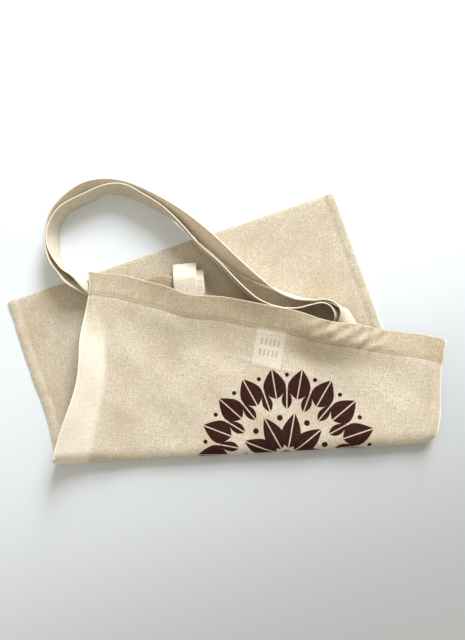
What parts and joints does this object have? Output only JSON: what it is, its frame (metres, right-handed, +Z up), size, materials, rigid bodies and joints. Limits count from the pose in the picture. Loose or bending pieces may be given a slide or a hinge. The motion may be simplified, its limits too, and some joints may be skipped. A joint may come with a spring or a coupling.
{
  "type": "canvas tote bag",
  "caption": "Flat canvas tote bag with open hemmed mouth, care label and two carrying handles, laid down and folded once across its middle.",
  "frame": {"origin": "under the middle of the whole folded bag, on the surface that it lies on", "axes": "+X along the fold, +Y from the fold towards the bag's bottom, +Z up"},
  "size_m": [0.4654, 0.3026, 0.0284],
  "materials": {
    "canvas": "natural plain-weave linen and cotton canvas, matt, with dark flecks and thicker yarns",
    "hem": "the same canvas doubled, a little darker",
    "webbing": "the same canvas folded into a flat strap",
    "thread": "pale sewing thread",
    "label": "thin white woven tape with plain grey bars"
  },
  "bodies": {
    "lower_half": {"front_panel_lower": "canvas", "back_panel_lower": "canvas", "left_seam_lower": "canvas", "right_seam_lower": "canvas", "bottom_fold": "canvas"},
    "upper_half": {"back_panel_upper": "canvas", "front_panel_upper": "canvas", "left_seam_upper": "canvas", "right_seam_upper": "canvas", "back_hem": "hem", "front_hem": "hem", "back_hem_stitching": "thread", "front_hem_stitching": "thread", "care_label": "label", "front_handle_left_end": "webbing", "front_handle_right_end": "webbing", "front_left_end_stitching": "thread", "front_right_end_stitching": "thread", "back_handle_left_end": "webbing", "back_handle_right_end": "webbing", "back_left_end_stitching": "thread", "back_right_end_stitching": "thread", "front_handle_tail": "webbing", "back_handle_tail": "webbing"},
    "handle_front": {"front_handle_loop": "webbing"},
    "handle_back": {"back_handle_loop": "webbing"}
  },
  "joints": [
    {"name": "fold", "type": "hinge", "parent": "lower_half", "child": "upper_half", "pos_m": [0.00927, -0.15177, 0.0087], "axis": [1, 0, 0], "range_deg": [0, 170]},
    {"name": "handle_front_swing", "type": "hinge", "parent": "upper_half", "child": "handle_front", "pos_m": [-0.14373, 0.02123, 0.018], "axis": [-0.9909, 0.1345, 0], "range_deg": [-115, 0]},
    {"name": "handle_back_swing", "type": "hinge", "parent": "upper_half", "child": "handle_back", "pos_m": [-0.14373, 0.02123, 0.018], "axis": [-0.9909, 0.1345, 0], "range_deg": [-115, 0]}
  ]
}
